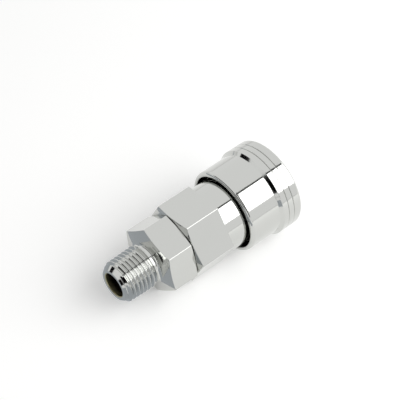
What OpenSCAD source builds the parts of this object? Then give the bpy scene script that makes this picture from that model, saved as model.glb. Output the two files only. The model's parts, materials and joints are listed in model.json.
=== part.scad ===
// Quick coupling socket for coolant or air: a taper thread at one end, a sprung
// release sleeve over a ball lock at the other, and a shut-off valve between them.
// Each piece is drawn upright on its own axis, with the thread's tip at height 0
// and the plug mouth at the top. laid() then puts it down on its side, the way
// the coupling comes to rest on a bench. The origin stays at the thread's tip.

/* [Taper thread] */
// Major diameter of the thread at its tip
thread_d = 12.78; // [12:0.01:13.6]
// Distance between two threads
thread_pitch = 1.337; // [1:0.001:1.5]
// Depth of a thread, crest to root
thread_depth = 0.856; // [0.5:0.001:0.9]
// Length of the thread along the axis
thread_len = 10.9; // [8:0.1:14]
// The diameter grows by one part in this many
thread_taper = 16; // [12:1:24]
// Length of the bevel that leads the thread in
tip_bevel = 1.8; // [0.5:0.1:2.5]
// Diameter of the flat ring at the tip
tip_face_d = 10; // [9:0.1:11]
// Diameter of the bore through the adapter
bore_d = 7.7; // [5:0.1:8]
// Length of the plain neck between the thread and the hexagon
neck_len = 1.7; // [1.2:0.1:2.5]
// Radius of the fillet from the neck to the hexagon
neck_fillet = 0.9; // [0.5:0.1:1]

/* [Hexagons] */
// Width of the adapter's hexagon across its flats
small_af = 20; // [19:0.5:21]
// Length of the adapter's hexagon
small_hex_len = 9.9; // [8:0.1:14]
// Diameter of the flat ring where the adapter's conical face starts
small_face_d = 14; // [13.6:0.1:18]
// Width of the socket's hexagon across its flats
big_af = 22; // [21:0.5:24]
// Length of the socket's hexagon
big_hex_len = 12.2; // [10.5:0.1:15]
// Angle between the corners of the two hexagons
hex_turn = 22.5; // [10:0.5:30]
// Slope of the bevel that takes off the hexagons' corners
hex_bevel = 14; // [12:1:40]
// How far the facing ends are bevelled in from the flats
seam_bevel = 0.5; // [0.2:0.1:1]

/* [Socket body] */
// How far the plain barrel lies inside the flats of the socket's hexagon
barrel_cut = 0.05; // [0.03:0.01:0.3]
// Length of the barrel, up to the seat of the sleeve spring
barrel_len = 8.5; // [8:0.1:10]
// How far the front tube stands back from the sleeve's front edge
tube_setback = 0.4; // [0.2:0.1:1]
// Diameter of the bore that takes the plug
plug_d = 12.9; // [12.5:0.1:13.3]
// How much wider the mouth in front of the balls is, all round
mouth_step = 0.45; // [0.3:0.05:0.6]
// Width of the bevel at the mouth
mouth_bevel = 0.75; // [0.4:0.05:1]
// How much narrower the bore behind the packing is, all round
bore_step = 0.55; // [0.3:0.05:0.8]
// Wall of the front tube around the valve chamber and the packing
tube_wall = 1.6; // [1.3:0.1:1.9]
// Wall of the body around the adapter, at the hexagon's flats
socket_wall = 2; // [1.8:0.1:2.4]
// Length of the adapter's end inside the body
spigot_len = 10.8; // [10:0.1:11.5]
// Room left in front of the adapter's end
spigot_room = 0.2; // [0.1:0.05:0.4]

/* [Release sleeve] */
// Gap all round between the barrel and the sleeve's rear bore
sleeve_gap = 1.05; // [0.95:0.05:1.3]
// Wall of the sleeve around its spring
spring_wall = 1.45; // [1.2:0.05:1.7]
// Height of the raised band at its front
band_step = 0.95; // [0.6:0.05:1.2]
// Length of the raised band, with its bevelled step
band_len = 8; // [7:0.1:9]
// Length of the sleeve
sleeve_len = 18.8; // [18.5:0.1:20]
// How far the sleeve slides back to let the plug go
sleeve_travel = 5; // [4:0.1:5.2]
// Space left behind the sleeve when it is pulled right back
sleeve_spare = 1.7; // [1:0.1:2.5]
// Rounding of the sleeve's rear edge
rear_round = 1.1; // [0.5:0.1:1.4]
// Rounding of the sleeve's front edge
nose_round = 0.9; // [0.5:0.1:1.2]
// Distance of the first turned line from the band's rear edge
line_place = 2; // [1:0.05:2.3]
// Distance between the two turned lines
line_space = 2.05; // [1.5:0.05:2.4]
// Width and depth of a turned line
line_size = 0.22; // [0.1:0.01:0.4]
// Length of the land that holds the balls in
land_len = 1.9; // [1.5:0.1:2.3]

/* [Ball lock] */
// Number of balls
ball_count = 8; // [6:1:8]
// Diameter of a ball
ball_d = 4; // [3.8:0.1:4.1]
// How far a ball stands into the plug's bore
ball_bite = 0.85; // [0.6:0.05:0.9]
// Distance of the balls from the tube's front face
ball_setback = 6.3; // [6:0.1:7]
// How far a ball moves out when the sleeve is back
ball_travel = 0.9; // [0.7:0.01:1]
// Thickness of the stop ring
stop_ring_t = 1; // [0.8:0.1:1.2]
// How far the stop ring reaches over the sleeve's shoulder
stop_ring_bite = 0.5; // [0.4:0.05:0.7]
// How deep the stop ring sits in the tube
stop_ring_seat = 0.9; // [0.7:0.05:1]
// Gap between the ends of the stop ring
stop_ring_gap = 2.4; // [1.5:0.1:4]
// Distance of the stop ring from the tube's front face
stop_ring_setback = 0.5; // [0.4:0.05:0.8]

/* [Valve] */
// How far the valve opens
valve_travel = 5; // [3:0.1:6]
// Diameter of the valve's stem
stem_d = 3; // [2.5:0.1:3.4]
// How far the stem reaches behind its guide
stem_reach = 1.2; // [0.5:0.1:2]
// Thickness of the ring that guides the stem
guide_t = 1.6; // [1.2:0.1:2]
// Distance of the guide from where the hexagons meet
guide_setback = 1.5; // [1:0.1:2.5]
// Diameter of the holes that let the coolant through the guide
guide_hole_d = 2.9; // [2:0.1:3]
// Thickness of the valve's flange
flange_t = 1.75; // [1.2:0.05:2.2]
// Room for the coolant between the valve and the bores around it
valve_room = 1; // [0.8:0.1:1.2]
// Wall of the valve's hollow nose
nose_wall = 1.5; // [1:0.1:2]
// Diameter of the windows through the nose
window_d = 2.6; // [2:0.1:3]
// Depth of the valve's seat from the packing
seat_setback = 1.65; // [1.2:0.05:2.2]

/* [Seals] */
// Diameter of the rubber in the valve's seal
seal_wire = 1.8; // [1.6:0.1:2]
// Distance of the seal's middle from the chamber's wall
seal_inset = 1.4; // [1.3:0.05:1.6]
// Length of the groove for the plug's packing
packing_len = 2.2; // [1.8:0.1:2.5]
// Distance from the packing to the middle of the balls
packing_setback = 3.1; // [2.8:0.1:3.5]
// How far the packing's lips stand into the plug's way
lip_reach = 0.2; // [0.1:0.05:0.3]
// Diameter of the rubber in the adapter's O-ring
o_ring_wire = 1.35; // [1:0.05:1.5]
// Length of the O-ring's groove
o_ring_groove_len = 1.8; // [1.5:0.1:2]
// Distance from that groove to the adapter's inner end
o_ring_setback = 0.9; // [0.6:0.1:1.5]
// Wall of the adapter under that groove
o_ring_wall = 1; // [0.8:0.1:1.2]

/* [Springs] */
// Diameter of the valve's spring, at the middle of its wire
valve_spring_d = 10; // [9:0.1:11]
// Wire diameter of the sleeve's spring
sleeve_wire = 0.9; // [0.8:0.05:1]
// Turns of the sleeve's spring, with its closed ends
sleeve_turns = 3.75; // [3.5:0.25:4.25]
// Wire diameter of the valve's spring
valve_wire = 0.8; // [0.6:0.05:1]
// Turns of the valve's spring, with its closed ends
valve_turns = 7.5; // [6:0.25:9]

/* [Clearances] */
// Radial clearance of pieces that slide or turn
slide_fit = 0.05; // [0.02:0.01:0.1]
// Clearance of seals, springs and balls in their seats
seat_fit = 0.02; // [0.01:0.01:0.05]

/* [Hidden] */
$fn = 96;
over = 1; // how far a cutter runs past the face it opens

// Heights along the axis
hex_at = thread_len + neck_len;            // the adapter's conical face
seam_at = hex_at + small_hex_len;          // where the two hexagons meet
barrel_at = seam_at + big_hex_len;         // front of the socket's hexagon
tube_at = barrel_at + barrel_len;          // seat of the sleeve spring
sleeve_at = barrel_at + sleeve_travel + sleeve_spare;
sleeve_end = sleeve_at + sleeve_len;
tube_end = sleeve_end - tube_setback;      // front face of the body
step_at = sleeve_end - band_len;           // foot of the step up to the band
rim_at = step_at + band_step;              // the band's rear edge, past a 45 degree step

// Diameters that follow from the pieces inside
barrel_d = big_af - 2 * barrel_cut;
spigot_d = big_af - 2 * (socket_wall + slide_fit);
tube_d = plug_d + 2 * (ball_d - ball_bite);
chamber_d = tube_d - 2 * tube_wall;
sleeve_d = barrel_d + 2 * (sleeve_gap + spring_wall);
band_d = sleeve_d + 2 * band_step;

// Ball lock: a ball rests on the lip at the foot of its hole, under the sleeve's land
ball_r = ball_d / 2;
ball_at = tube_end - ball_setback;
ball_ring_r = tube_d / 2 - ball_r;
land_r = tube_d / 2 + slide_fit;
ball_lip_r = 0.9 * ball_r;
ball_lip_top = ball_ring_r - sqrt(pow(ball_r + seat_fit, 2) - pow(ball_lip_r, 2));
land_at = ball_at - land_len;
relief_slope = 1.22 * ball_travel / sleeve_travel; // the sleeve opens faster than a ball moves
mouth_at = ball_at + ball_r + 0.1;

// Stop ring: it sits in a groove of the tube, and the sleeve's shoulder rests on it
ring_front = tube_end - stop_ring_setback;
ring_at = ring_front - stop_ring_t;
ring_seat_r = tube_d / 2 - stop_ring_seat;
shoulder_r = land_r + relief_slope * (ring_at - ball_at);
ring_r = shoulder_r + stop_ring_bite;
ring_room_r = ring_r + 4 * slide_fit;

// Valve: its seal stops on a 45 degree seat between the chamber and the plug's bore
chamber_at = seam_at + spigot_len + spigot_room;
inner_bore_r = plug_d / 2 - bore_step;
packing_r = tube_d / 2 - tube_wall;
packing_at = ball_at - packing_setback - packing_len;
seat_end = packing_at - seat_setback;
seat_at = seat_end - (chamber_d / 2 - inner_bore_r);
seal_mean_r = chamber_d / 2 - seal_inset;
seal_at = seat_at + seal_inset - sqrt(2) * (seal_wire / 2 + slide_fit);
seal_from = seal_at - seal_wire / 2 - seat_fit;
seal_to = seal_at + seal_wire / 2 + seat_fit;
core_r = seal_mean_r - seal_wire / 2 - seat_fit;
poppet_back = seal_from - flange_t;
nose_r = inner_bore_r - valve_room;
cap_r = core_r + seal_wire / 3;
nose_at = seal_to + cap_r - nose_r;        // the cap is bevelled like the seat
nose_end = nose_at + valve_travel - 1.1;   // a plug pushes the nose back by the travel
guide_at = seam_at + guide_setback;
stem_back = guide_at - stem_reach;

// Adapter's inner end: O-ring groove outside, seat of the stem guide inside
o_ring_at = seam_at + spigot_len - o_ring_setback - o_ring_groove_len;
o_ring_mean_r = spigot_d / 2 + slide_fit - seat_fit - o_ring_wire / 2;
o_ring_seat_r = o_ring_mean_r - o_ring_wire / 2 - seat_fit;
guide_seat_r = o_ring_seat_r - o_ring_wall;

// Rest: the band's rear edge and one corner of each hexagon touch the bench.
// tilt is how far the thread's end drops, lean how far a corner of the big
// hexagon is turned from straight down.
function corner_r(af) = af / 2 / cos(30);
small_touch_at = hex_at + (corner_r(small_af) - small_face_d / 2) * tan(hex_bevel);
big_touch_at = seam_at + (corner_r(big_af) - big_af / 2 + seam_bevel) * tan(hex_bevel);
small_reach = rim_at - small_touch_at;
big_reach = rim_at - big_touch_at;
small_share = corner_r(small_af) / small_reach;
big_share = corner_r(big_af) / big_reach;
turn_left = 60 - hex_turn;
lean_x = small_share * cos(turn_left) - big_share;
lean_y = small_share * sin(turn_left);
lean = atan2(lean_y, lean_x)
    - acos(band_d / 2 * (1 / small_reach - 1 / big_reach) / norm([lean_x, lean_y]));
tilt = atan((band_d / 2 - corner_r(big_af) * cos(lean)) / big_reach);

// Lays an upright piece down on its side, with the thread's end low
module laid() rotate([0, 90 - tilt, 0]) rotate([0, 0, lean]) children();

// A turned shape from [radius, height] points
module turned(outline) rotate_extrude() polygon(outline);

// A straight hole or rod from one height to another
module rod(r, from, to) translate([0, 0, from]) cylinder(r = r, h = to - from);

// Cutter for a groove round a rod, down to radius r
module groove(r, rod_r, from, to) difference() {
    rod(rod_r + over, from, to);
    rod(r, from - over, to + over);
}

// A hexagon whose ends are turned down to a cone, from a face of the given radius
module hexagon(af, from, to, face_r, end_r) {
    r = corner_r(af) + 0.1;
    rise = tan(hex_bevel);
    intersection() {
        translate([0, 0, from]) cylinder(r = corner_r(af), h = to - from, $fn = 6);
        turned([[0, from], [face_r, from], [r, from + (r - face_r) * rise],
                [r, to - max(0, r - end_r) * rise], [min(r, end_r), to], [0, to]]);
    }
}

// Radius of the thread's crest at a height
function crest_r(z) = thread_d / 2 + z / thread_taper / 2;

// Thread as ring grooves on the taper, with a flat at each crest and root
module taper_thread() {
    half_width = 0.425 * thread_pitch;
    half_root = half_width - thread_depth * tan(27.5);
    first = 0.82 * thread_pitch;
    count = floor((thread_len - first) / thread_pitch);
    grooves = [for (i = [0:count]) let (z = first + i * thread_pitch)
        for (p = [[-half_width, 0], [-half_root, 1], [half_root, 1], [half_width, 0]])
            if (z + p[0] < thread_len) [crest_r(z + p[0]) - p[1] * thread_depth, z + p[0]]];
    neck_r = crest_r(thread_len) - thread_depth - 0.05;
    intersection() {
        turned(concat([[0, 0], [crest_r(0), 0]], grooves,
            [[crest_r(thread_len), thread_len], [neck_r, thread_len + 0.35]],
            arc(neck_r + neck_fillet, hex_at - neck_fillet, neck_fillet, 180, 90),
            [[neck_r + neck_fillet, hex_at + over], [0, hex_at + over]]));
        turned([[0, 0], [tip_face_d / 2, 0], [crest_r(tip_bevel), tip_bevel],
                [crest_r(tip_bevel) + 1, tip_bevel + 0.4], [crest_r(tip_bevel) + 1, hex_at + over],
                [0, hex_at + over]]);
    }
}

module threaded_adapter() {
    color("gainsboro") difference() {
        union() {
            taper_thread();
            rotate([0, 0, hex_turn])
                hexagon(small_af, hex_at, seam_at, small_face_d / 2, small_af / 2 - seam_bevel);
            turned([[0, seam_at - over], [spigot_d / 2, seam_at - over],
                    [spigot_d / 2, seam_at + spigot_len - 0.4],
                    [spigot_d / 2 - 0.4, seam_at + spigot_len], [0, seam_at + spigot_len]]);
        }
        rod(bore_d / 2, -over, seam_at + spigot_len + over);
        rod(guide_seat_r, guide_at, seam_at + spigot_len + over);
        groove(o_ring_seat_r, spigot_d / 2, o_ring_at, o_ring_at + o_ring_groove_len);
    }
}

// A rubber ring of round section
module rubber_ring(mean_r, wire, at)
    translate([0, 0, at]) rotate_extrude() translate([mean_r, 0]) circle(d = wire, $fn = 48);

module adapter_o_ring() {
    color("dimgray") rubber_ring(o_ring_mean_r, o_ring_wire, o_ring_at + o_ring_groove_len / 2);
}

module valve_guide() {
    color("goldenrod") difference() {
        rod(guide_seat_r - slide_fit, guide_at, guide_at + guide_t);
        rod(stem_d / 2 + slide_fit, guide_at - over, guide_at + guide_t + over);
        for (turn = [0:60:300]) rotate([0, 0, turn]) translate([(guide_seat_r + stem_d / 2) / 2, 0, 0])
            rod(guide_hole_d / 2, guide_at - over, guide_at + guide_t + over);
    }
}

// A helical spring with one closed turn at each end, swept from rings of points
module coil(wire, mean_r, from, to, turns) {
    sides = 8;
    rings = round(20 * turns);
    end_pitch = 1.1 * wire;
    pitch = (to - from - wire - 2 * end_pitch) / (turns - 2);
    function rise(u) = min(u, 1) * end_pitch + max(0, min(u, turns - 1) - 1) * pitch
        + max(0, u - turns + 1) * end_pitch;
    function place(i, j) = let (u = turns * i / rings, a = 360 * u, b = 360 * j / sides,
        r = mean_r + wire / 2 * cos(b))
        [r * cos(a), r * sin(a), from + wire / 2 * (1 + sin(b)) + rise(u)];
    points = [for (i = [0:rings]) for (j = [0:sides - 1]) place(i, j)];
    walls = [for (i = [0:rings - 1]) for (j = [0:sides - 1]) let (k = (j + 1) % sides)
        [i * sides + j, i * sides + k, (i + 1) * sides + k, (i + 1) * sides + j]];
    ends = [[for (j = [sides - 1:-1:0]) j], [for (j = [0:sides - 1]) rings * sides + j]];
    polyhedron(points = points, faces = concat(walls, ends), convexity = 10);
}

module valve_spring() {
    color("silver") coil(valve_wire, valve_spring_d / 2, guide_at + guide_t + seat_fit,
        poppet_back - seat_fit, valve_turns);
}

module valve_poppet() {
    flange_r = chamber_d / 2 - valve_room;
    stem_r = stem_d / 2;
    edge = 0.3;
    color("goldenrod") difference() {
        turned([[0, stem_back], [stem_r - edge, stem_back], [stem_r, stem_back + edge],
                [stem_r, poppet_back - over], [stem_r + over, poppet_back],
                [flange_r - edge, poppet_back], [flange_r, poppet_back + edge],
                [flange_r, seal_from], [core_r, seal_from], [core_r, seal_to],
                [cap_r, seal_to], [nose_r, nose_at], [nose_r, nose_end - edge],
                [nose_r - edge, nose_end], [0, nose_end]]);
        rod(nose_r - nose_wall, nose_at, nose_end + over);
        for (turn = [0, 90]) translate([0, 0, nose_at + window_d / 2 + edge]) rotate([0, 90, turn])
            cylinder(d = window_d, h = 2 * (nose_r + over), center = true);
    }
}

module valve_seal() {
    color("dimgray") rubber_ring(seal_mean_r, seal_wire, seal_at);
}

// Hole for one ball, wide outside and with a lip at its foot
module ball_hole(turn) rotate([0, 0, turn]) translate([0, 0, ball_at]) rotate([0, 90, 0]) {
    rod(ball_r + slide_fit, ball_lip_top, tube_d / 2 + over);
    rod(ball_lip_r, 0, ball_lip_top + over);
}

function ball_turn(i) = 360 * (i - 0.5) / ball_count;

module socket_body() {
    plug_r = plug_d / 2;
    mouth_r = plug_r + mouth_step;
    socket_r = spigot_d / 2 + slide_fit;
    color("gainsboro") difference() {
        union() {
            hexagon(big_af, seam_at, barrel_at, big_af / 2 - seam_bevel, big_af);
            rod(barrel_d / 2, barrel_at - over, tube_at);
            turned([[0, tube_at - over], [tube_d / 2, tube_at - over], [tube_d / 2, tube_end - 0.25],
                    [tube_d / 2 - 0.25, tube_end], [0, tube_end]]);
        }
        // rear socket, chamber, valve seat, plug bore and mouth, in one turned cut
        turned([[0, seam_at - over], [socket_r, seam_at - over], [socket_r, chamber_at],
                [chamber_d / 2, chamber_at], [chamber_d / 2, seat_at], [inner_bore_r, seat_end],
                [inner_bore_r, packing_at + packing_len + 0.3],
                [plug_r, packing_at + packing_len + 0.3 + bore_step], [plug_r, mouth_at],
                [mouth_r, mouth_at + mouth_step], [mouth_r, tube_end - mouth_bevel],
                [mouth_r + mouth_bevel, tube_end], [mouth_r + mouth_bevel, tube_end + over],
                [0, tube_end + over]]);
        rod(packing_r, packing_at, packing_at + packing_len);
        for (i = [1:ball_count]) ball_hole(ball_turn(i));
        groove(ring_seat_r, tube_d / 2, ring_at - 2 * slide_fit, ring_front);
    }
}

// Lip packing that closes round the plug, with a hollow between its two lips
module plug_packing() {
    inner = inner_bore_r - lip_reach;
    outer = packing_r - seat_fit;
    from = packing_at + seat_fit;
    to = packing_at + packing_len - seat_fit;
    middle = (from + to) / 2;
    color("dimgray") turned([[inner + 0.3, from], [outer, from], [outer, to], [inner + 0.3, to],
        [inner, to - 0.35], [inner + 0.25, middle], [inner, from + 0.35]]);
}

module sleeve_spring() {
    color("silver") coil(sleeve_wire, (tube_d + sleeve_d) / 4 - spring_wall / 2, tube_at + seat_fit,
        land_at - seat_fit, sleeve_turns);
}

// Points of a quarter circle about a centre, from one angle to another
function arc(r, z, round, from, to) =
    [for (i = [0:8]) let (a = from + (to - from) * i / 8) [r + round * cos(a), z + round * sin(a)]];

// A turned line: a shallow V in the band
function turned_line(at) = [[band_d / 2, at - line_size / 2], [band_d / 2 - line_size, at],
    [band_d / 2, at + line_size / 2]];

module sleeve() {
    r = sleeve_d / 2;
    spring_r = r - spring_wall;
    band_r = band_d / 2;
    color("gainsboro") turned(concat(
        [[spring_r, sleeve_at + 0.15], [spring_r + 0.15, sleeve_at]],
        arc(r - rear_round, sleeve_at + rear_round, rear_round, -90, 0),
        [[r, step_at], [band_r, rim_at]],
        turned_line(rim_at + line_place),
        turned_line(rim_at + line_place + line_space),
        arc(band_r - nose_round, sleeve_end - nose_round, nose_round, 0, 90),
        [[ring_room_r + 0.4, sleeve_end], [ring_room_r, sleeve_end - 0.4],
         [ring_room_r, ring_at], [shoulder_r, ring_at], [land_r, ball_at],
         [land_r, land_at], [spring_r, land_at]]));
}

// Split ring of square wire, sprung into the tube's groove
module sleeve_stop_ring() {
    color("darkgray") difference() {
        rod(ring_r, ring_at, ring_front);
        rod(ring_seat_r + seat_fit, ring_at - over, ring_front + over);
        translate([0, -stop_ring_gap / 2, ring_at - over])
            cube([ring_r + over, stop_ring_gap, stop_ring_t + 2 * over]);
    }
}

module lock_ball(i) {
    color("silver") rotate([0, 0, ball_turn(i)]) translate([ball_ring_r, 0, ball_at]) sphere(r = ball_r);
}

laid() threaded_adapter();
laid() adapter_o_ring();
laid() valve_guide();
laid() valve_spring();
laid() valve_poppet();
laid() valve_seal();
laid() socket_body();
laid() plug_packing();
laid() sleeve_spring();
laid() sleeve();
laid() sleeve_stop_ring();
for (i = [1:ball_count])
    laid() lock_ball(i);
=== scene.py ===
# %% [markdown]
# # A quick coupling socket in chromed steel
# The object is one half of a hand-operated quick coupling for coolant lines. A
# taper pipe thread goes into a manifold, two hexagons take the wrenches, and a
# sprung sleeve is pulled back to let the plug go. The solids come from CAD and
# are already in place, so this lesson adds what a solid lacks: a true helical
# thread, edges that catch the light, and the finish of each metal and rubber.

# %% Load the frame
import json
import math

import bmesh
import bpy
from mathutils import Matrix, Vector


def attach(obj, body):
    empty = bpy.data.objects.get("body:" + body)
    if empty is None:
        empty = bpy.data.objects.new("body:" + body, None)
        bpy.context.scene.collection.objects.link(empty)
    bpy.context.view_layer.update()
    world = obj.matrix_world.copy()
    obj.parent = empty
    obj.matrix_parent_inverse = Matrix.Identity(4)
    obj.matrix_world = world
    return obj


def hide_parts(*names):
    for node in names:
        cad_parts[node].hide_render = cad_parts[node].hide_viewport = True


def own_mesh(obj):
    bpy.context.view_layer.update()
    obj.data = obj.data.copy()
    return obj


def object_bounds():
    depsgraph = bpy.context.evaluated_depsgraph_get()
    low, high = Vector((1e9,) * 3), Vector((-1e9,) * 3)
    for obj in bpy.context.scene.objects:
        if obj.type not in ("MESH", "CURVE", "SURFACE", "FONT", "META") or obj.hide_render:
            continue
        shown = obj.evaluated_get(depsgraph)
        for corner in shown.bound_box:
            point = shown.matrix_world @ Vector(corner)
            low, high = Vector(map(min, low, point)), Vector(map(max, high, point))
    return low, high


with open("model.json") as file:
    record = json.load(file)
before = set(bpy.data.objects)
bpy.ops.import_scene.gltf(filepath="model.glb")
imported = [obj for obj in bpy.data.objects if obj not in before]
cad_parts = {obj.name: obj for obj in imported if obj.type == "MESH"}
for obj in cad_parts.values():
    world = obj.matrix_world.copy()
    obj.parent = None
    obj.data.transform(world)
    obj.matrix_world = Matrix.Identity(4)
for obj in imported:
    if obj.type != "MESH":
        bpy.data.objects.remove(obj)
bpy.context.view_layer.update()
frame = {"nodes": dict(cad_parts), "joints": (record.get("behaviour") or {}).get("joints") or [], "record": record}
nodes, joints, record = frame["nodes"], frame["joints"], frame["record"]
print("CAD nodes:", len(nodes), "joints:", len(joints))

# %% [markdown]
# ## Where the coupling lies
# It rests on its side, so its axis is tilted a little and its hexagons are
# rolled. Each piece is easiest to make upright, with its axis on Z and its
# thread tip at the origin, as on a lathe. One matrix then lays it down. The
# joint of the sleeve gives the axis, and the wrench flat gives the roll.

# %% Lay pieces down as the CAD lies
MM = 0.001
FLAT_TURN = math.radians(150)  # the wrench flat's own angle on the upright part


def joint_named(name):
    return next(j for j in joints if j["name"] == name)


def mount_named(name):
    return next(m for m in record["mounts"] if m["name"] == name)


AXIS = -Vector(joint_named("sleeve_slide")["axis"]).normalized()
flat_normal = Vector(mount_named("wrench_flat")["axis"]).normalized()
across = Matrix.Rotation(-FLAT_TURN, 3, AXIS) @ flat_normal
LAY = Matrix((across, AXIS.cross(across), AXIS)).transposed().to_4x4()
print("tilt of the axis:", round(math.degrees(math.asin(AXIS.z)), 2), "degrees")


# %% Measure a node along the axis
def reach(name):
    """Lowest height, highest height, least and greatest radius of a node, in mm."""
    points = [v.co / MM for v in nodes[name].data.vertices]
    heights = [p.dot(AXIS) for p in points]
    radii = [(p - AXIS * h).length for p, h in zip(points, heights)]
    return min(heights), max(heights), min(radii), max(radii)


for name in ("threaded_adapter", "socket_body", "sleeve", "sleeve_spring"):
    print(name, [round(x, 2) for x in reach(name)])

# %% [markdown]
# ## The camera
# It looks down on the thread's end from the front left, with a long lens, and
# is rolled a few degrees, as when it is held by hand. It aims a little behind
# the axis, which leaves the coupling left of and below the middle.

# %% Set the camera
AZIMUTH, ELEVATION, ROLL = (math.radians(a) for a in (-47.58, 47.89, 8.5))
FOCUS = Vector((0.03706, 0.00585, 0.00657))
DISTANCE = 0.4434
LENS = 135.27

back = Vector((math.sin(AZIMUTH) * math.cos(ELEVATION),
               -math.cos(AZIMUTH) * math.cos(ELEVATION), math.sin(ELEVATION)))
level = Vector((math.cos(AZIMUTH), math.sin(AZIMUTH), 0))
right = level * math.cos(ROLL) + back.cross(level) * math.sin(ROLL)

camera_data = bpy.data.cameras.new("camera")
camera_data.sensor_width, camera_data.lens = 36, LENS
camera_data.clip_start, camera_data.clip_end = 0.01, 10
camera = bpy.data.objects.new("camera", camera_data)
camera.location = FOCUS + back * DISTANCE
camera.rotation_mode = "QUATERNION"
camera.rotation_quaternion = Matrix((right, back.cross(right), back)).transposed().to_quaternion()
bpy.context.collection.objects.link(camera)
bpy.context.scene.camera = camera
print("camera at", [round(x * 1000) for x in camera.location], "mm")

# %% [markdown]
# ## Colours and nodes
# Colours are written as the usual hex codes and turned to the linear numbers
# that a shader needs. One function adds a node with its settings and its links.
# One more gives every finish the same start: a place on the upright coupling in
# millimetres, with Z along the axis, so each pattern has a real size.

# %% Helpers for materials
def shade(code):
    """A linear colour from an sRGB hex code."""
    parts = [int(code[i:i + 2], 16) / 255 for i in (1, 3, 5)]
    return [c / 12.92 if c <= 0.04045 else ((c + 0.055) / 1.055) ** 2.4 for c in parts] + [1]


def add(tree, kind, values=None, links=None, **settings):
    """Adds a node, with its settings, the values of its inputs and what links to them."""
    node = tree.nodes.new("ShaderNode" + kind)
    for name, setting in settings.items():
        setattr(node, name, setting)
    for name, value in (values or {}).items():
        node.inputs[name].default_value = value
    for name, socket in (links or {}).items():
        tree.links.new(socket, node.inputs[name])
    return node


def empty_tree(owner):
    """The cleared node tree of a material or of the world."""
    owner.use_nodes = True
    owner.node_tree.nodes.clear()
    return owner.node_tree


def start_finish(name, code, metallic, roughness):
    """A material with its shader, and the place on the upright coupling in mm."""
    material = bpy.data.materials.new(name)
    tree = empty_tree(material)
    shader = add(tree, "BsdfPrincipled", {
        "Base Color": shade(code), "Metallic": metallic, "Roughness": roughness})
    add(tree, "OutputMaterial", links={"Surface": shader.outputs["BSDF"]})
    place = add(tree, "Mapping", {"Rotation": LAY.inverted().to_euler(), "Scale": [1 / MM] * 3},
                {"Vector": add(tree, "TexCoord").outputs["Object"]})
    return material, tree, shader, place.outputs["Vector"]


def vary(tree, shader, socket, factor, low, high):
    """Lets a pattern of 0 to 1 move one of the shader's inputs between low and high."""
    moved = add(tree, "MapRange", {"To Min": low, "To Max": high}, {"Value": factor})
    tree.links.new(moved.outputs["Result"], shader.inputs[socket])


def emboss(tree, shader, height, depth_mm, strength=1.0):
    """Presses a pattern of 0 to 1 into the surface, to a depth in mm."""
    before = shader.inputs["Normal"].links
    bump = add(tree, "Bump", {"Strength": strength, "Distance": depth_mm * MM}, {"Height": height})
    if before:
        tree.links.new(before[0].from_socket, bump.inputs["Normal"])
    tree.links.new(bump.outputs["Normal"], shader.inputs["Normal"])


# %% [markdown]
# ## Bright chrome on turned steel
# Chrome plate is very smooth, but it copies what lies under it. Under the sleeve,
# the barrel and the cones are the fine rings that the lathe's tool left. Under
# the hexagons' flats is the long grain of the drawn bar. Both are far finer than
# a picture of the whole coupling can show, so they are drawn coarser and very
# shallow, and only stir the reflections. A cloudy change in roughness is the haze
# that polishing leaves.

# %% Turned chrome
CHROME = "#C9CAC7"  # chrome reflects a little over half of the light
chrome, tree, shader, place = start_finish("bright_chrome_on_turned_steel", CHROME, 1.0, 0.07)
along = add(tree, "SeparateXYZ", links={"Vector": place}).outputs["Z"]
tool_rings = add(tree, "TexNoise", {"Scale": 7.0, "Detail": 3.0}, {"W": along},
                 noise_dimensions="1D")
haze = add(tree, "TexNoise", {"Scale": 0.3, "Detail": 3.0}, {"Vector": place})
vary(tree, shader, "Roughness", haze.outputs["Fac"], 0.05, 0.10)
emboss(tree, shader, tool_rings.outputs["Fac"], 0.0006)
ripple = add(tree, "TexNoise", {"Scale": 0.45, "Detail": 1.0}, {"Vector": place})
emboss(tree, shader, ripple.outputs["Fac"], 0.004)
print("chrome nodes:", len(tree.nodes))

# %% Chrome on the hexagons' flats
bar_chrome, tree, shader, place = start_finish("bright_chrome_on_drawn_bar", CHROME, 1.0, 0.08)
long_grain = add(tree, "Mapping", {"Scale": [4.0, 4.0, 0.15]}, {"Vector": place})
grain = add(tree, "TexNoise", {"Scale": 1.0, "Detail": 3.0},
            {"Vector": long_grain.outputs["Vector"]})
haze = add(tree, "TexNoise", {"Scale": 0.25, "Detail": 2.0}, {"Vector": place})
vary(tree, shader, "Roughness", haze.outputs["Fac"], 0.06, 0.13)
emboss(tree, shader, grain.outputs["Fac"], 0.0008)
ripple = add(tree, "TexNoise", {"Scale": 0.18, "Detail": 1.0}, {"Vector": place})
emboss(tree, shader, ripple.outputs["Fac"], 0.012)
print("bar chrome nodes:", len(tree.nodes))

# %% [markdown]
# ## The bore, which the plating hardly reaches
# Plating thins out inside a narrow hole. The first millimetre is still bright
# with a yellow tinge, and behind it the drilled steel is dark with oil, with the
# spiral marks of the drill.

# %% Thinly plated bore
bore_finish, tree, shader, place = start_finish("oiled_steel_of_the_bore", "#4C4640", 1.0, 0.35)
depth = add(tree, "SeparateXYZ", links={"Vector": place}).outputs["Z"]
fade = add(tree, "MapRange", {"From Min": 0.2, "From Max": 2.2}, {"Value": depth})
plating = add(tree, "MixRGB", {"Color1": shade("#B9B28F"), "Color2": shade("#3B352E")},
              {"Fac": fade.outputs["Result"]})
tree.links.new(plating.outputs["Color"], shader.inputs["Base Color"])
drill_marks = add(tree, "TexNoise", {"Scale": 4.0, "Detail": 2.0}, {"W": depth},
                  noise_dimensions="1D")
emboss(tree, shader, drill_marks.outputs["Fac"], 0.01)
oil = add(tree, "TexNoise", {"Scale": 0.6}, {"Vector": place})
vary(tree, shader, "Roughness", oil.outputs["Fac"], 0.25, 0.5)
print("bore nodes:", len(tree.nodes))

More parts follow.
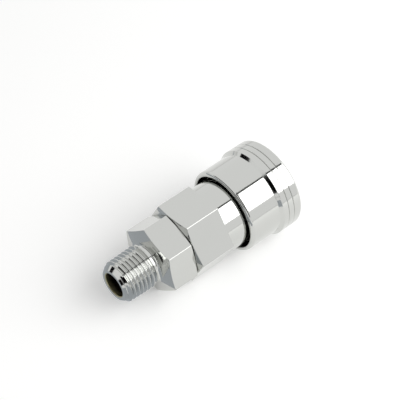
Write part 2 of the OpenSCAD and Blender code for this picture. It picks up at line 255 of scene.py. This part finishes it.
# %% [markdown]
# ## What is inside: brass, spring wire, balls and rubber
# The valve and its guide are turned brass, satin and warm. The springs are drawn
# stainless wire with marks along the wire. The stop ring is blackened spring
# steel. The balls are lapped, the brightest metal here. The seals are moulded
# nitrile rubber: nearly black, dull, with a fine speckle from the mould.

# %% Turned brass
brass, tree, shader, place = start_finish("turned_brass", "#C8A45C", 1.0, 0.25)
along = add(tree, "SeparateXYZ", links={"Vector": place}).outputs["Z"]
tool_rings = add(tree, "TexNoise", {"Scale": 5.0, "Detail": 3.0}, {"W": along},
                 noise_dimensions="1D")
emboss(tree, shader, tool_rings.outputs["Fac"], 0.004)
tarnish = add(tree, "TexNoise", {"Scale": 0.7, "Detail": 4.0}, {"Vector": place})
vary(tree, shader, "Roughness", tarnish.outputs["Fac"], 0.18, 0.38)
tint = add(tree, "MixRGB", {"Color1": shade("#CFAE68"), "Color2": shade("#A9803F")},
           {"Fac": tarnish.outputs["Fac"]})
tree.links.new(tint.outputs["Color"], shader.inputs["Base Color"])

# %% Spring wire, stop ring and balls
wire_finish, tree, shader, place = start_finish("drawn_stainless_wire", "#A9A8A4", 1.0, 0.25)
draw_marks = add(tree, "TexNoise", {"Scale": 3.0, "Detail": 4.0}, {"Vector": place})
vary(tree, shader, "Roughness", draw_marks.outputs["Fac"], 0.15, 0.4)
emboss(tree, shader, draw_marks.outputs["Fac"], 0.003)

ring_finish, tree, shader, place = start_finish("blackened_spring_steel", "#5A5A5C", 1.0, 0.32)
scale_spots = add(tree, "TexNoise", {"Scale": 2.0, "Detail": 4.0}, {"Vector": place})
vary(tree, shader, "Roughness", scale_spots.outputs["Fac"], 0.22, 0.5)
emboss(tree, shader, scale_spots.outputs["Fac"], 0.003)

ball_finish, tree, shader, place = start_finish("lapped_bearing_steel", "#CCCCCB", 1.0, 0.04)
fine_marks = add(tree, "TexNoise", {"Scale": 2.5, "Detail": 3.0}, {"Vector": place})
vary(tree, shader, "Roughness", fine_marks.outputs["Fac"], 0.03, 0.09)

# %% Moulded rubber
rubber, tree, shader, place = start_finish("moulded_nitrile_rubber", "#1B1B1C", 0.0, 0.55)
shader.inputs["IOR"].default_value = 1.5
speckle = add(tree, "TexNoise", {"Scale": 5.0, "Detail": 3.0}, {"Vector": place})
emboss(tree, shader, speckle.outputs["Fac"], 0.01)
vary(tree, shader, "Roughness", speckle.outputs["Fac"], 0.45, 0.7)
print("materials:", len(bpy.data.materials))

# %% [markdown]
# ## Turned pieces
# A lathe shape is an outline spun once round the axis. Spin is the operator for
# it, with the last ring merged to the first. Sharp corners would look cut from
# paper, so each piece has its edges eased by a bevel, as thin as the real edge.
# Large faces stay flat in the light because the weighted normals follow them.

# %% Helpers for turned pieces
SPIN_STEPS = 192  # a multiple of 16 and of 6, so the hexagons' corners fall on a step


def lathe(outline, closed=True, bm=None):
    """Spins (radius, height) points in mm round Z. A closed outline makes a solid."""
    bm = bm or bmesh.new()
    points = [bm.verts.new((radius, 0, height)) for radius, height in outline]
    pairs = zip(points, points[1:] + points[:1] if closed else points[1:])
    edges = [bm.edges.new(pair) for pair in pairs]
    bmesh.ops.spin(bm, geom=points + edges, cent=(0, 0, 0), axis=(0, 0, 1),
                   angle=math.tau, steps=SPIN_STEPS, use_merge=True)
    bmesh.ops.remove_doubles(bm, verts=bm.verts, dist=1e-4)
    return bm


def arc(radius, height, rounding, start, end, steps=8):
    """Points of a rounding, from one angle to another, in degrees from straight out."""
    angles = [math.radians(start + (end - start) * i / steps) for i in range(steps + 1)]
    return [(radius + rounding * math.cos(a), height + rounding * math.sin(a)) for a in angles]


def radius_of(point):
    return math.hypot(point.x, point.y)


def ease_edges(bm, width, where=lambda point: True, segments=2, sharper_than=28):
    """Bevels the sharp edges whose middle passes the test, by a width in mm."""
    bmesh.ops.recalc_face_normals(bm, faces=bm.faces)
    edges = [e for e in bm.edges if e.is_manifold
             and e.calc_face_angle(0) > math.radians(sharper_than)
             and where((e.verts[0].co + e.verts[1].co) / 2)]
    bmesh.ops.bevel(bm, geom=edges, offset=width, segments=segments, profile=0.5,
                    affect="EDGES", clamp_overlap=True, material=-1)


def paint(bm, index, test):
    """Gives a material index to the faces whose middle passes the test."""
    for face in bm.faces:
        if test(face.calc_center_median(), face.normal):
            face.material_index = index


def lay_piece(bm, name, body, finishes, stands_for=(), weighted=True):
    """Lays an upright piece in mm down as the CAD lies, and lets it ride on its body."""
    bmesh.ops.recalc_face_normals(bm, faces=bm.faces)
    for face in bm.faces:
        face.smooth = True
    for edge in bm.edges:
        edge.smooth = edge.calc_face_angle(0) < math.radians(40)
    bm.transform(LAY @ Matrix.Scale(MM, 4))
    mesh = bpy.data.meshes.new(name)
    bm.to_mesh(mesh)
    open_edges = sum(not e.is_manifold for e in bm.edges)
    bm.free()
    for finish in finishes:
        mesh.materials.append(finish)
    piece = bpy.data.objects.new(name, mesh)
    bpy.context.collection.objects.link(piece)
    if weighted:
        normals = piece.modifiers.new("weighted normals", "WEIGHTED_NORMAL")
        normals.keep_sharp = True
    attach(piece, body)
    if stands_for:
        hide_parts(*stands_for)
    print(f"{name}: {len(mesh.polygons)} faces, {open_edges} open edges")
    return piece


# %% [markdown]
# ## Hexagons
# A hexagon for a wrench starts as round bar, and its corners are turned down to a
# cone. Here it is made the other way round: the blank is spun, then its outer
# points move in to the six flats. Where a point ends on the bevel depends on how
# far out it is, and that gives the curved edge that each flat has in real life.

# %% Mill the flats
BEVEL_RISE = math.tan(math.radians(14))


def corner_radius(flats):
    return flats / 2 / math.cos(math.radians(30))


def mill_hexagon(bm, flats, turn, bevels):
    """Moves the points at corner radius in to the flats. bevels are (height, radius,
    +1 or -1): where a cone starts, and which way along the axis it opens."""
    corner = corner_radius(flats)
    for point in bm.verts:
        if abs(radius_of(point.co) - corner) > 0.002:
            continue
        angle = math.atan2(point.co.y, point.co.x) - math.radians(turn)
        radius = flats / 2 / math.cos(angle % math.radians(60) - math.radians(30))
        for height, start, way in bevels:
            if abs(point.co.z - (height + way * (corner - start) * BEVEL_RISE)) < 0.002:
                point.co.z = height + way * (radius - start) * BEVEL_RISE
        point.co.xy *= radius / corner


# %% [markdown]
# ## The thread
# The taper pipe thread is the piece's one real helix: 19 ridges to the inch, with
# flanks at 55 degrees and rounded crests, growing by 1 in 16. The CAD only has
# rings there. A profile of one pitch is spun with a lift for each step, which is
# how a screw is swept, and neighbouring turns meet exactly, so they merge. Then
# two planes cut it off, and a turned bevel leads it in.

# %% Sweep the thread
PITCH, THREAD_DEPTH, THREAD_LENGTH = 1.337, 0.856, 10.9
TIP_CREST, TIP_FACE, TIP_BEVEL = 6.39, 5.0, 1.8
BORE, NECK, NECK_FILLET, HEX_START = 3.85, 5.825, 0.9, 12.6
ONE_PITCH = [(0, 0), (0.06, 0.02), (0.11, 0.08), (0.39, 0.92), (0.44, 0.98), (0.5, 1),
             (0.56, 0.98), (0.61, 0.92), (0.89, 0.08), (0.94, 0.02), (1, 0)]
EXTRA_TURNS = 2

adapter = bmesh.new()
turns = math.ceil(THREAD_LENGTH / PITCH) + 2 * EXTRA_TURNS
first = -EXTRA_TURNS * PITCH
points = [adapter.verts.new((TIP_CREST - THREAD_DEPTH * (1 - rise), 0, first + share * PITCH))
          for share, rise in ONE_PITCH]
edges = [adapter.edges.new(pair) for pair in zip(points, points[1:])]
bmesh.ops.spin(adapter, geom=points + edges, cent=(0, 0, 0), axis=(0, 0, 1),
               dvec=(0, 0, PITCH / SPIN_STEPS), angle=math.tau * turns,
               steps=SPIN_STEPS * turns, use_merge=False)
bmesh.ops.remove_doubles(adapter, verts=adapter.verts, dist=1e-3)
for height, way in ((0, -1), (THREAD_LENGTH, 1)):
    bmesh.ops.bisect_plane(adapter, geom=adapter.verts[:] + adapter.edges[:] + adapter.faces[:],
                           dist=1e-4, plane_co=(0, 0, height), plane_no=(0, 0, way),
                           clear_outer=True)


def crest(height):
    """Radius of the crests, which the tip's bevel and the run-out cut down."""
    full = TIP_CREST + height / 32
    lead_in = TIP_FACE + height * (TIP_CREST + TIP_BEVEL / 32 - TIP_FACE) / TIP_BEVEL
    run_out = full - max(0, height - THREAD_LENGTH + 0.5)
    return min(full, lead_in, run_out)


for point in adapter.verts:
    tapered = radius_of(point.co) + point.co.z / 32
    point.co.xy *= min(tapered, crest(point.co.z)) / radius_of(point.co)
print("thread:", len(adapter.faces), "faces")

# %% [markdown]
# ## The rest of the threaded adapter
# Neck, conical face, smaller hexagon and the spigot inside the body are turned
# from the same bar, so they continue the same mesh. Bridge joins the thread's two
# open ends to it.

# %% Spin the adapter's blank and join the thread to it
SEAM, SPIGOT, SPIGOT_END = 22.5, 8.95, 33.3
SMALL_FLATS, SMALL_TURN = 20, 22.5
CONE_FACE, BACK_FACE = 7.0, 9.5  # radii where the smaller hexagon's bevels begin
GROOVE_FLOOR, GROOVE_START, GROOVE_END = 7.61, 30.6, 32.4  # for the O-ring
GUIDE_SEAT, GUIDE_ROOM = 24.0, 6.61  # height and radius of the room for the guide
corner = corner_radius(SMALL_FLATS)
lathe([
    (NECK, THREAD_LENGTH + 0.4), *arc(NECK + NECK_FILLET, HEX_START - NECK_FILLET,
                                      NECK_FILLET, 180, 90), (CONE_FACE, HEX_START),
    (corner, HEX_START + (corner - CONE_FACE) * BEVEL_RISE),
    (corner, SEAM - (corner - BACK_FACE) * BEVEL_RISE), (BACK_FACE, SEAM), (SPIGOT, SEAM),
    (SPIGOT, GROOVE_START), (GROOVE_FLOOR, GROOVE_START), (GROOVE_FLOOR, GROOVE_END),
    (SPIGOT, GROOVE_END), (SPIGOT, SPIGOT_END - 0.4), (SPIGOT - 0.4, SPIGOT_END),
    (GUIDE_ROOM, SPIGOT_END), (GUIDE_ROOM, GUIDE_SEAT), (BORE, GUIDE_SEAT),
    (BORE, 12.0), (BORE, 4.0), (BORE, 0.25),
    (BORE + 0.25, 0), (TIP_FACE - 0.06, 0),
], closed=False, bm=adapter)
mill_hexagon(adapter, SMALL_FLATS, SMALL_TURN, [(HEX_START, CONE_FACE, 1),
                                                (SEAM, BACK_FACE, -1)])
for low, high in ((-0.01, 0.01), (THREAD_LENGTH - 0.01, THREAD_LENGTH + 0.41)):
    rims = [e for e in adapter.edges if e.is_boundary
            and all(low < v.co.z < high for v in e.verts)]
    bmesh.ops.bridge_loops(adapter, edges=rims)
ease_edges(adapter, 0.12, lambda p: p.z > HEX_START + 0.2 and radius_of(p) > 9.2)
paint(adapter, 1, lambda p, n: HEX_START < p.z < SEAM and radius_of(p) > 8 and abs(n.z) < 0.1)
paint(adapter, 2, lambda p, n: radius_of(p) < BORE + 0.2)
lay_piece(adapter, "threaded_adapter_finished", "socket", [chrome, bar_chrome, bore_finish],
          ["threaded_adapter"])

# %% [markdown]
# ## The socket body
# The larger hexagon, the plain barrel and the tube under the sleeve are one
# turning. The tube has eight cross holes for the balls. A Boolean drills them,
# which is the one job here that no spin can do.

# %% Drill helper
def drill(bm, cutters):
    """Takes the cutters' solids out of a piece. Both are bmeshes in mm."""
    pair = []
    for work in (bm, cutters):
        bmesh.ops.recalc_face_normals(work, faces=work.faces)
        mesh = bpy.data.meshes.new("work")
        work.to_mesh(mesh)
        work.free()
        pair.append(bpy.data.objects.new("work", mesh))
        bpy.context.collection.objects.link(pair[-1])
    cut = pair[0].modifiers.new("drill", "BOOLEAN")
    cut.operation, cut.solver, cut.object = "DIFFERENCE", "EXACT", pair[1]
    result = bmesh.new()
    result.from_object(pair[0], bpy.context.evaluated_depsgraph_get())
    for work in pair:
        mesh = work.data
        bpy.data.objects.remove(work)
        bpy.data.meshes.remove(mesh)
    return result


# %% Turn and drill the body
BIG_FLATS, HEX_END, BARREL, TUBE = 22, 34.7, 10.95, 9.6
TUBE_START, TUBE_END, BALL_HEIGHT, BALL_RING, BALL = 43.2, 59.8, 53.5, 7.6, 2.0
BALLS = 8
FACE, CHAMBER, RING_FLOOR, RING_LOW, RING_HIGH = 10.5, 8.0, 8.7, 58.2, 59.3
corner = corner_radius(BIG_FLATS)
body = lathe([
    (9.0, SEAM), (FACE, SEAM), (corner, SEAM + (corner - FACE) * BEVEL_RISE),
    (corner, HEX_END), (BARREL, HEX_END), (BARREL, TUBE_START), (TUBE, TUBE_START),
    (TUBE, RING_LOW), (RING_FLOOR, RING_LOW), (RING_FLOOR, RING_HIGH), (TUBE, RING_HIGH),
    (TUBE, TUBE_END - 0.25),
    (TUBE - 0.25, TUBE_END), (7.65, TUBE_END), (6.9, 59.05), (6.9, 56.05), (6.45, 55.6),
    (6.45, 51.25), (5.9, 50.7), (5.9, 50.4), (CHAMBER, 50.4), (CHAMBER, 48.2), (5.9, 48.2),
    (5.9, 46.55), (CHAMBER, 44.45), (CHAMBER, 33.5), (9.0, 33.5),
])
mill_hexagon(body, BIG_FLATS, 0, [(SEAM, FACE, 1)])

holes = bmesh.new()
for i in range(BALLS):
    turn = Matrix.Rotation(math.tau * (i + 0.5) / BALLS, 4, "Z")
    for radius, start, end in ((BALL + 0.05, 6.68, 11), (0.9 * BALL, 5, 7)):
        side = (turn @ Matrix.Translation(((start + end) / 2, 0, BALL_HEIGHT))
                @ Matrix.Rotation(math.pi / 2, 4, "Y"))
        bmesh.ops.create_cone(holes, cap_ends=True, segments=48, radius1=radius,
                              radius2=radius, depth=end - start, matrix=side)
body = drill(body, holes)
ease_edges(body, 0.12, lambda p: p.z < HEX_END - 0.05 and radius_of(p) > 9.2)
ease_edges(body, 0.08, lambda p: p.z > TUBE_START - 0.1 and radius_of(p) > 9.55)
paint(body, 1, lambda p, n: SEAM < p.z < HEX_END and radius_of(p) > 10 and n.z > -0.1)
lay_piece(body, "socket_body_finished", "socket", [chrome, bar_chrome],
          ["socket_body"])

# %% [markdown]
# ## The release sleeve
# It is a thin tube with a raised band to grip, two fine turned lines in the band,
# and soft ends. All of it is turned, so one outline holds the whole piece: the
# rounded rear edge, the 45 degree step, the lines, the nose, and inside the room
# for the spring, the land over the balls and the shoulder for the stop ring.

# %% Turn the sleeve
def turned_line(radius, height, size=0.3):
    """A fine groove with eased lips."""
    half = size / 2
    return [(radius, height - 1.5 * half), (radius - 0.2 * size, height - half),
            (radius - size, height - 0.3 * half), (radius - size, height + 0.3 * half),
            (radius - 0.2 * size, height + half), (radius, height + 1.5 * half)]


SLEEVE_START, SLEEVE_END, SLEEVE, BAND = 41.4, 60.2, 13.45, 14.4
STEP, LINES = 52.2, (55.15, 57.2)
REAR_ROUND, NOSE_ROUND, SPRING_ROOM = 1.1, 0.9, 12.0
LAND, SHOULDER, RING_ROOM, RING_START = 9.65, 10.704, 11.404, 58.3
RIM = STEP + BAND - SLEEVE
sleeve = lathe(
    [(SPRING_ROOM, SLEEVE_START + 0.3), (SPRING_ROOM + 0.2, SLEEVE_START)]
    + arc(SLEEVE - REAR_ROUND, SLEEVE_START + REAR_ROUND, REAR_ROUND, -90, 0)
    + [(SLEEVE, STEP), (BAND, RIM)]
    + turned_line(BAND, LINES[0]) + turned_line(BAND, LINES[1])
    + arc(BAND - NOSE_ROUND, SLEEVE_END - NOSE_ROUND, NOSE_ROUND, 0, 90)
    + [(RING_ROOM + 0.4, SLEEVE_END), (RING_ROOM, SLEEVE_END - 0.4), (RING_ROOM, RING_START),
       (SHOULDER, RING_START), (LAND, BALL_HEIGHT), (LAND, 51.6), (SPRING_ROOM, 51.6)])
ease_edges(sleeve, 0.1, lambda p: abs(p.z - STEP) < 0.1 or abs(p.z - RIM) < 0.1, segments=3)
ease_edges(sleeve, 0.05, lambda p: radius_of(p) < 12.2)
lay_piece(sleeve, "sleeve_finished", "sleeve", [chrome], ["sleeve"])

# %% [markdown]
# ## Springs
# A compression spring has its end coils closed against their neighbours, so that
# it stands square. A round section is spun with a lift: little lift for the first
# and last turn, and the true pitch between them. The spring cannot follow a rigid
# body when a joint moves, so it rides on the socket.

# %% Wind the springs
def wind_spring(node, turns):
    """Winds a spring in the place of the CAD node, as an upright bmesh in mm."""
    low, high, inner, outer = reach(node)
    wire = outer - inner
    end_pitch = 1.1 * wire
    pitch = (high - low - wire - 2 * end_pitch) / (turns - 2)
    bm = bmesh.new()
    place = (Matrix.Translation(((inner + outer) / 2, 0, low + wire / 2))
             @ Matrix.Rotation(math.pi / 2, 4, "X"))
    made = bmesh.ops.create_circle(bm, segments=16, radius=wire / 2, cap_ends=True, matrix=place)
    section = made["verts"] + list({e for v in made["verts"] for e in v.link_edges})
    for share, rise in ((1, end_pitch), (turns - 2, pitch), (1, end_pitch)):
        steps = round(48 * share)
        swept = bmesh.ops.spin(bm, geom=section, cent=(0, 0, 0), axis=(0, 0, 1),
                               dvec=(0, 0, rise * share / steps), angle=math.tau * share,
                               steps=steps, use_merge=False)
        section = swept["geom_last"]
    bmesh.ops.contextual_create(bm, geom=[g for g in section if isinstance(g, bmesh.types.BMEdge)])
    return bm


def point_at(height):
    """The point on the axis at a height in mm."""
    return AXIS * height * MM


for node, turns, joint, foot, name in (
        ("sleeve_spring", 3.75, "sleeve_slide", TUBE_START, "sleeve_spring_wound"),
        ("valve_spring", 7.5, "valve_slide", 25.6, "valve_spring_wound")):
    spring = lay_piece(wind_spring(node, turns), name, "socket", [wire_finish],
                       [node], weighted=False)
    length = reach(node)[1] - foot
    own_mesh(spring)

# %% [markdown]
# ## Balls, stop ring and seals
# The balls are lapped spheres. The stop ring is a flat ring with a gap, so that
# it can be opened over the tube. The O-rings are tori, which is a circle spun
# round the axis, and the packing is a ring with two lips.

# %% Balls
for i in range(BALLS):
    turn = Matrix.Rotation(math.tau * (i + 0.5) / BALLS, 4, "Z")
    ball = bmesh.new()
    bmesh.ops.create_icosphere(ball, subdivisions=4, radius=BALL,
                               matrix=turn @ Matrix.Translation((BALL_RING, 0, BALL_HEIGHT)))
    node = f"lock_ball_{i + 1}"
    lay_piece(ball, node + "_lapped", node, [ball_finish], [node], weighted=False)

# %% Stop ring
RING_GAP = 2.4
low, high, inner, outer = reach("sleeve_stop_ring")
ring = lathe([(inner, low), (outer, low), (outer, high), (inner, high)])
gap = bmesh.new()
bmesh.ops.create_cube(gap, size=1, matrix=Matrix.Translation((10, 0, 58.8))
                      @ Matrix.Diagonal((6, RING_GAP, 3, 1)))
ring = drill(ring, gap)
ease_edges(ring, 0.12)
lay_piece(ring, "sleeve_stop_ring_finished", "socket", [ring_finish],
          ["sleeve_stop_ring"])

# %% Seals
for node, body_name in (("adapter_o_ring", "socket"), ("valve_seal", "valve")):
    low, high, inner, outer = reach(node)
    seal = bmesh.new()
    place = (Matrix.Translation(((inner + outer) / 2, 0, (low + high) / 2))
             @ Matrix.Rotation(math.pi / 2, 4, "X"))
    made = bmesh.ops.create_circle(seal, segments=24, radius=(outer - inner) / 2, matrix=place)
    bmesh.ops.spin(seal, geom=seal.verts[:] + seal.edges[:], cent=(0, 0, 0), axis=(0, 0, 1),
                   angle=math.tau, steps=96, use_merge=True)
    lay_piece(seal, node + "_moulded", body_name, [rubber], [node],
              weighted=False)

low, high, inner, outer = reach("plug_packing")
packing = lathe([(inner + 0.3, low), (outer, low), (outer, high), (inner + 0.3, high),
                 (inner, high - 0.35), (inner + 0.25, (low + high) / 2), (inner, low + 0.35)])
ease_edges(packing, 0.06)
lay_piece(packing, "plug_packing_moulded", "socket", [rubber], ["plug_packing"])

# %% [markdown]
# ## The valve and its guide
# The guide is a brass ring with a hole for the stem and six for the coolant. The
# valve is a stem, a flange that holds the seal, and a hollow nose that the plug
# pushes, with windows through its wall. Both are turned and drilled.

# %% Turn and drill the guide
STEM, GUIDE_HOLES, GUIDE_HOLE = 1.5, 6, 1.45
low, high, inner, outer = reach("valve_guide")
guide = lathe([(inner, low), (outer, low), (outer, high), (inner, high)])
holes = bmesh.new()
for i in range(GUIDE_HOLES):
    place = (Matrix.Rotation(math.tau * i / GUIDE_HOLES, 4, "Z")
             @ Matrix.Translation(((GUIDE_ROOM + STEM) / 2, 0, (low + high) / 2)))
    bmesh.ops.create_cone(holes, cap_ends=True, segments=48, radius1=GUIDE_HOLE,
                          radius2=GUIDE_HOLE, depth=3, matrix=place)
guide = drill(guide, holes)
ease_edges(guide, 0.1)
lay_piece(guide, "valve_guide_turned", "socket", [brass], ["valve_guide"])

# %% Turn and drill the valve
FLANGE, SEAL_FLOOR, CAP, NOSE, NOSE_BORE, WINDOW = 7.0, 5.68, 6.28, 4.9, 3.4, 1.3
low, high, inner, outer = reach("valve_poppet")
seal_low, seal_high = reach("valve_seal")[:2]
nose_start = seal_high + 0.02 + CAP - NOSE
valve = lathe([
    (0, low), (STEM - 0.3, low), (STEM, low + 0.3), (STEM, seal_low - 2.77),
    (STEM + 1, seal_low - 1.77), (FLANGE - 0.3, seal_low - 1.77), (FLANGE, seal_low - 1.47),
    (FLANGE, seal_low - 0.02), (SEAL_FLOOR, seal_low - 0.02), (SEAL_FLOOR, seal_high + 0.02),
    (CAP, seal_high + 0.02), (NOSE, nose_start), (NOSE, high - 0.3), (NOSE - 0.3, high),
    (NOSE_BORE, high), (NOSE_BORE, nose_start), (0, nose_start)], closed=False)
windows = bmesh.new()
for turn in (0, 90):
    place = (Matrix.Translation((0, 0, nose_start + WINDOW + 0.3))
             @ Matrix.Rotation(math.radians(turn), 4, "Z") @ Matrix.Rotation(math.pi / 2, 4, "Y"))
    bmesh.ops.create_cone(windows, cap_ends=True, segments=48, radius1=WINDOW, radius2=WINDOW,
                          depth=12, matrix=place)
valve = drill(valve, windows)
ease_edges(valve, 0.08)
lay_piece(valve, "valve_turned", "valve", [brass], ["valve_poppet"])

# %% [markdown]
# ## The bench
# A plain pale surface carries the coupling and keeps its soft shadow. Its colour
# stays pale, and a little light of its own lifts it to white around the shadow.

# %% Lay the bench
def stage_sheet(name, matrix):
    """A flat square of one metre, sized and placed by the matrix, beside the part."""
    mesh = bpy.data.meshes.new(name)
    square = bmesh.new()
    bmesh.ops.create_grid(square, x_segments=1, y_segments=1, size=0.5, matrix=matrix)
    square.to_mesh(mesh)
    square.free()
    sheet = bpy.data.objects.new(name, mesh)
    bpy.context.collection.objects.link(sheet)
    return sheet


BENCH_SIZE = 3
bench_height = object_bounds()[0].z
bench = stage_sheet("bench", Matrix.Translation((0.03, 0, bench_height))
                    @ Matrix.Diagonal((BENCH_SIZE, BENCH_SIZE, 1, 1)))

paper = bpy.data.materials.new("matt_white_paper")
tree = empty_tree(paper)
diffuse = add(tree, "BsdfDiffuse", {"Color": shade("#F2F2F1")})
glow = add(tree, "Emission", {"Color": shade("#FFFFFF"), "Strength": 0.2})
both = add(tree, "AddShader", links={0: diffuse.outputs[0], 1: glow.outputs[0]})
add(tree, "OutputMaterial", links={"Surface": both.outputs[0]})
bench.data.materials.append(paper)
print("bench at", round(bench_height * 1000, 2), "mm")

# %% [markdown]
# ## Light
# Chrome has no colour of its own to show: it shows the room. So it is shot in a
# pale tent, with one long softbox at the camera's side, parallel to the coupling,
# which gives the white band along every turned surface. Four cards stand in the
# tent, because metal reads as metal by what is dark in it. A narrow one at the
# softbox's upper edge gives the thin line beside the band, one stands for the
# camera, one for an open doorway past the thread's end, and a grey sheet on the
# bench, which only reflections show, is painted shade under the thread that greys
# the hexagon's cone. To place softbox and cards, the camera's own direction is
# mirrored in the turned surface, which leaves a cone of directions round the axis.

# %% Softbox, cards and tent
def mirrored(around, along):
    """A direction by degrees round the axis from the camera, and degrees along the axis."""
    toward = (back - AXIS * back.dot(AXIS)).normalized()
    around, along = math.radians(around), math.radians(along)
    round_axis = toward * math.cos(around) + toward.cross(AXIS) * math.sin(around)
    return round_axis * math.cos(along) + AXIS * math.sin(along)


def facing(direction):
    """A turn whose Z is the direction and whose X runs along the coupling."""
    length = (AXIS - direction * AXIS.dot(direction)).normalized()
    return Matrix((length, direction.cross(length), direction)).transposed()


LAMP_DISTANCE = 0.6
middle = point_at(30)


def panel_place(across_span, along_span):
    """Middle, turn and size of a panel that fills a span of angles, both in degrees."""
    direction = mirrored(sum(across_span) / 2, sum(along_span) / 2)
    along = 2 * LAMP_DISTANCE * math.tan(math.radians((along_span[1] - along_span[0]) / 2))
    square_on = LAMP_DISTANCE * math.cos(math.radians(sum(along_span) / 2))
    across = 2 * square_on * math.tan(math.radians((across_span[1] - across_span[0]) / 2))
    return middle + direction * LAMP_DISTANCE, facing(direction), along, across


SOFTBOX_ACROSS, SOFTBOX_ALONG = (-34, 17), (-4, 66)
SOFTBOX_LEVEL = 2.2  # its brightness, where the tent is 1
place, turn, length, width = panel_place(SOFTBOX_ACROSS, SOFTBOX_ALONG)
softbox_data = bpy.data.lights.new("softbox", "AREA")
softbox_data.shape, softbox_data.size, softbox_data.size_y = "RECTANGLE", length, width
softbox_data.energy = SOFTBOX_LEVEL * math.pi * length * width
softbox = bpy.data.objects.new("softbox", softbox_data)
softbox.location = place
softbox.rotation_euler = turn.to_euler()
bpy.context.collection.objects.link(softbox)


def card(name, code, place, turn, length, width):
    """A matt card that only reflections show. It takes no light from the bench."""
    board = stage_sheet(name, Matrix.Translation(place) @ turn.to_4x4()
                        @ Matrix.Diagonal((length, width, 1, 1)))
    board.visible_camera = board.visible_diffuse = board.visible_shadow = False
    paint_of_card = bpy.data.materials.new(name)
    tree = empty_tree(paint_of_card)
    flat = add(tree, "Emission", {"Color": shade(code), "Strength": 1.0})
    add(tree, "OutputMaterial", links={"Surface": flat.outputs[0]})
    board.data.materials.append(paint_of_card)


card("black_edge_card", "#030303", *panel_place((17.6, 21.5), (-45, 66)))
card("dark_camera_front", "#060606", *panel_place((-48, 21.5), (-38, -15)))
UPRIGHT = Matrix(((0, 0, 1), (1, 0, 0), (0, 1, 0)))  # a card that stands across the X axis
card("dark_doorway", "#0A0A0B", Vector((-0.6, 0.33, 0.2)), UPRIGHT, 1.5, 0.26)
# A grey sheet on the bench that only reflections show: painted shade that stands for the shadow under the thread.
card("painted_shade_under_thread", "#B4B9BE", Vector((-0.1, 0.02, bench_height + 0.0002)),
     Matrix.Identity(3), 0.22, 0.3)

world = bpy.data.worlds.new("tent")
bpy.context.scene.world = world
tree = empty_tree(world)
ray = add(tree, "LightPath")
seen = add(tree, "Math", links={0: ray.outputs["Is Camera Ray"], 1: ray.outputs["Is Glossy Ray"]},
           operation="MAXIMUM")
seen = add(tree, "Math", links={0: seen.outputs[0], 1: ray.outputs["Is Transmission Ray"]},
           operation="MAXIMUM")
level_of_light = add(tree, "MapRange", {"To Min": 0.55, "To Max": 1.0}, {"Value": seen.outputs[0]})
tent = add(tree, "Background", {"Color": shade("#FFFFFF")},
           {"Strength": level_of_light.outputs["Result"]})
add(tree, "OutputWorld", links={"Surface": tent.outputs[0]})
bpy.context.scene.view_settings.view_transform = "Standard"
print("softbox", round(width * 1000), "by", round(length * 1000), "mm")
